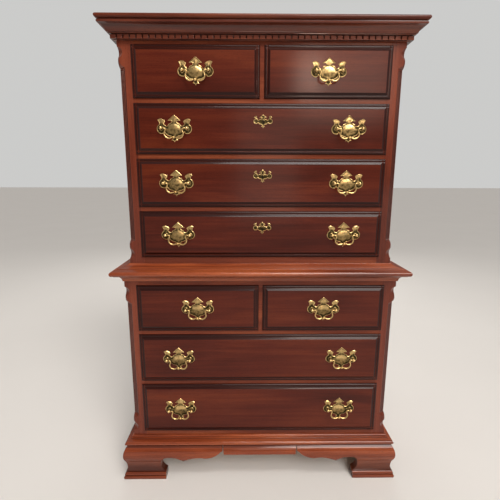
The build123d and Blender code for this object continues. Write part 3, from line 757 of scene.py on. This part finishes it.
def bail():
    """Cast bail about its pivot line: curled ends, swelling lobes and a turned knop in the middle."""
    half = [(37.5, 0.0, 1.45), (33.5, 0.1, 1.5), (30.5, 0.5, 1.8), (27.4, 0.0, 2.0), (25.3, -2.6, 2.05),
            (25.5, -7.0, 2.0), (27.2, -12.0, 2.05), (27.9, -17.0, 2.15), (26.0, -22.4, 2.3),
            (21.4, -26.8, 2.45), (15.4, -28.8, 2.55), (10.0, -28.2, 2.3), (6.6, -26.6, 1.7),
            (3.4, -26.0, 1.4), (0.0, -26.0, 1.4)]
    rows = half + [(-x, z, r) for x, z, r in reversed(half[:-1])]
    part = tube(spline(rows, 5))
    knop = [(-4.9, 0.3), (-4.8, 2.2), (-4.2, 2.9), (-3.6, 2.2), (-3.2, 1.9), (-2.9, 2.6), (-2.2, 3.4),
            (-1.2, 4.0), (0.0, 4.2)]
    knop += [(-reach, radius) for reach, radius in reversed(knop[:-1])]
    wear = [0.4 if radius < 2.3 else 1.0 for reach, radius in knop]
    turned = lathe(knop, wear, 20)
    part.join(turned, Matrix.Translation((0, 0, -26.4)) @ Matrix.Rotation(math.pi / 2, 4, "Z"))
    return part


def keyhole_shade():
    """Painted shade in the keyhole: a near-black plate with its pin on the wood behind the escutcheon,
    standing in for the dark hole and the lock.
    """
    outer = [(-3.4, -8.2), (3.4, -8.2), (3.4, 4.8), (-3.4, 4.8)]

    def flat(points, distance):
        return np.full(len(points), 0.12), np.zeros(len(points))
    part = cast_plate(round_corners(outer, 1.0), [], flat, 2.0)
    part.join(lathe([(0.0, 0.9), (0.7, 0.9), (0.95, 0.6), (1.0, 0.1)], [0.2, 0.4, 0.7, 0.7], 14),
              Matrix.Translation((0, 0, 1.3)))
    return part


# ---------------------------------------------------------------- woods and metals
def red(*values):
    return tuple(v / 1000 for v in values)


MAHOGANY = {
    "drawer": (red(38, 5, 2), red(72, 10, 4), red(118, 21, 7)),
    "rail": (red(82, 16, 8), red(150, 31, 13), red(235, 60, 24)),
    "post": (red(70, 14, 7), red(128, 25, 12), red(200, 45, 21)),
    # Darkest mahogany, for the cornice and top: painted shade on the cornice.
    "mould_in_shade": (red(46, 9, 5), red(92, 18, 8), red(165, 40, 17)),
    # Brighter than the rails and posts: painted light on the waist and base mouldings and the feet.
    "base": (red(84, 14, 5), red(195, 38, 12), red(345, 83, 27)),
}
FRONT_WOOD = wood("mahogany_drawer", "X", MAHOGANY["drawer"], 3.1, gloss=0.15, rim=0.85)
RAIL_WOOD = wood("mahogany_rail", "X", MAHOGANY["rail"], 8.7)
POST_WOOD = wood("mahogany_post", "Z", MAHOGANY["post"], 5.3, gloss=0.12, coat=0.5, rim=0.85)
SIDE_WOOD = wood("mahogany_side", "Z", MAHOGANY["post"], 11.9, gloss=0.24, coat=0.2)
TOP_WOOD = wood("mahogany_top", "X", MAHOGANY["mould_in_shade"], 14.2)
UPPER_MOULD_WOOD = wood("mahogany_cornice_shaded", CASE_SIDES["upper"], MAHOGANY["mould_in_shade"], 17.8,
                        gloss=0.07, coat=0.9, rim=0.75)
LOWER_MOULD_WOOD = wood("mahogany_moulding_lit", CASE_SIDES["lower"], MAHOGANY["base"], 21.4,
                        gloss=0.07, coat=0.9, rim=0.75)
FOOT_WOOD = wood("mahogany_foot_lit", (LOWER_HALF, LOWER_FRONT), MAHOGANY["base"], 25.6, coat=0.7, rim=0.8)
PLAIN = (red(330, 205, 105), red(450, 300, 165), red(560, 400, 240))
BOX_WOOD = wood("plain_drawer_side", "Y", PLAIN, 31.0, gloss=0.35, coat=0.15, figure=0.4, pore=0.3,
                rough=0.6)
BOARD_WOOD = wood("plain_board", "X", PLAIN, 35.0, gloss=0.4, coat=0.0, figure=0.4, pore=0.3, rough=0.68)
BACK_WOOD = wood("plain_back", "Z", (red(150, 82, 45), red(215, 130, 74), red(290, 190, 115)), 39.0,
                 gloss=0.4, coat=0.1, figure=0.4, pore=0.3, rough=0.6, boards=BOARD_WIDTH)
BRASS = brass("antique_brass", (0.80, 0.56, 0.24), (0.040, 0.029, 0.011))
# Near-black metal for the plate behind each keyhole: painted shade in the hole.
KEYHOLE_SHADE_METAL = brass("keyhole_shade_iron", (0.10, 0.09, 0.08), (0.012, 0.010, 0.009))


# ---------------------------------------------------------------- building
def build_case():
    for case in CASE_SIDES:
        refined(f"{case}_side_panels", SIDE_WOOD, 1.2)
        half, front = CASE_SIDES[case]

        # Painted shade, with some dark glazing, in the flutes of the corner chamfer: faces sunk below the
        # chamfer plane are darkened.
        def flute_shade(middle, half=half, front=front):
            inset = half - abs(middle.x) + middle.y - front - CHAMFER
            return inset / 1.5 if 0.2 < inset < 7 else 0.0

        refined(f"{case}_corner_posts", POST_WOOD, 0.5, rim=flute_shade)
        refined(f"{case}_drawer_rails", RAIL_WOOD, 0.7)
    refined("top_board", TOP_WOOD, 0.8)
    refined("dentil_moulding", UPPER_MOULD_WOOD, 0.4, (UPPER_HALF, UPPER_FRONT),
            dentil_shade)
    refined("bracket_feet", FOOT_WOOD, 0.9, (LOWER_HALF, LOWER_FRONT), foot_shade)
    refined("back_panels", BACK_WOOD, 1.0)
    refined("foot_blocks", BOARD_WOOD, 1.0)
    for node in ("drawer_runners", "case_boards"):
        NODES[node].data.materials[0] = BOARD_WOOD


def foot_shade(middle):
    """Painted shade low on the neck, in the groove above the pad and in the crease under the base moulding,
    fading out on the bulge.
    """
    return np.interp(middle.z, [11, 13, 17, 24, 25, 45, 80, 116, 119],
                     [0.2, 0.9, 0.1, 0.2, 1.0, 0.75, 0.0, 0.0, 0.7])


def dentil_shade(middle):
    """Painted shade in the saw cuts between the dentils: their faces are darkened fully."""
    return middle.y > UPPER_FRONT - DENTIL_CUT and abs(middle.x) < UPPER_HALF + DENTIL_CUT


def build_mouldings():
    cornice = chain((0.0, 1420.0), [
        (6.5, 1420.0), (6.5, 1434.5), (17.0, 1434.5), (17.0, 1437.0), (21.0, 1437.0),
        ((26.5, 1448.0), (37.5, 1455.0)), (40.0, 1455.5), (40.0, 1461.0), (37.0, 1461.0),
        (37.0, 1465.0), (0.0, 1465.0)], 1.6)
    moulding("cornice_moulding", round_corners(cornice, 0.7), UPPER_HALF, UPPER_FRONT,
             UPPER_MOULD_WOOD)
    waist = chain((-SETBACK, 742.0), [
        (-SETBACK, 764.0), (-14.0, 764.0), (-14.0, 761.5), ((-3.0, 755.5), (13.0, 752.5)), (15.0, 752.5),
        (15.0, 750.5), (18.0, 750.5), (27.0, 746.5), ((35.0, 738.0), (30.0, 730.5)), (25.0, 730.5),
        (25.0, 728.0), (22.0, 728.0), ((9.5, 722.5), (4.0, 711.0)), (4.0, 709.0), (0.0, 709.0),
        (0.0, 742.0)], 1.6)
    moulding("waist_moulding", round_corners(waist, 0.7), LOWER_HALF, LOWER_FRONT,
             LOWER_MOULD_WOOD)
    base = chain((0.0, 122.0), [
        (0.0, 152.5), (3.0, 152.5), ((6.5, 149.0), (4.5, 145.5)), (7.5, 144.0), (7.5, 142.0),
        ((13.0, 140.2), (19.0, 139.8)), ((26.0, 133.0), (20.0, 125.5)), (16.0, 124.0), (16.0, 122.0)], 1.4)
    moulding("base_moulding", round_corners(base, 0.6), LOWER_HALF, LOWER_FRONT,
             LOWER_MOULD_WOOD)


def build_drawers():
    plate, post, keyed = pull_plate(), ball_post(), escutcheon_plate()
    tail, swing, lock = threaded_tail(FRONT_THICK), bail(), keyhole_shade()
    for name in DRAWERS:
        front = UPPER_FRONT if name.startswith("upper") else LOWER_FRONT
        low, high = (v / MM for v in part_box(name + "_front"))

        # Dark band round each drawer lip: partly dark glazing, partly painted shade round the drawer.
        def lip_shade_band(middle, low=low, high=high):
            if middle.y > low.y + LIP_DEPTH:
                return False
            gap = min(middle.x - low.x, high.x - middle.x, middle.z - low.z, high.z - middle.z)
            return gap < LIP_WIDTH

        refined(name + "_front", FRONT_WOOD, 0.35, rim=lip_shade_band)
        NODES[name + "_box"].data.materials[0] = BOX_WOOD
        face = front - FIELD_OUT
        bails = [b for b, joint in JOINTS.items() if joint["parent"] == name]
        fittings = Part()
        for each in bails:
            x, y, z = (v / MM for v in JOINTS[each]["pos_m"])
            fittings.join(plate, Matrix.Translation((x, face, z)))
            for side in (-1, 1):
                place = Matrix.Translation((x + side * BORING / 2, face, z))
                fittings.join(post, place)
                fittings.join(tail, place)
            hanging = Part()
            hanging.join(swing, Matrix.Translation((x, y, z)))
            soften(stand_in(each + "_visual", hanging.mesh(each + "_visual"), BRASS, [each]))
        node = name + "_pull_mounts"
        soften(stand_in(node + "_visual", fittings.mesh(node + "_visual"), BRASS, [node]), 42.0)
        node = name + "_escutcheon"
        if node in NODES:
            low, high = (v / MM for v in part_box(node))
            place = Matrix.Translation(((low.x + high.x) / 2, high.y, low.z + ESCUTCHEON_TAIL))
            made = Part()
            made.join(keyed, place)
            soften(stand_in(node + "_visual", made.mesh(node + "_visual"), BRASS, [node]), 42.0)
            # A near-black plate behind the keyhole paints the shade of the hole.
            made = Part()
            made.join(lock, place)
            face_name = name + "_keyhole_shade"
            soften(stand_in(face_name, made.mesh(face_name), KEYHOLE_SHADE_METAL, [node]))


def escutcheon_plate():
    base = rim_relief(0.7)

    def relief(points, distance):
        height, wear = base(points, distance)
        around_key = np.hypot(points[:, 0] / 4.4, (points[:, 1] + 1.6) / 7.0) < 1
        return height, np.where(around_key, 0.1 * wear, wear)
    return cast_plate(escutcheon_outline(), [keyhole_outline()], relief, 1.3)


build_camera()
build_world()
build_lights()
build_floor()
build_case()
build_mouldings()
build_drawers()
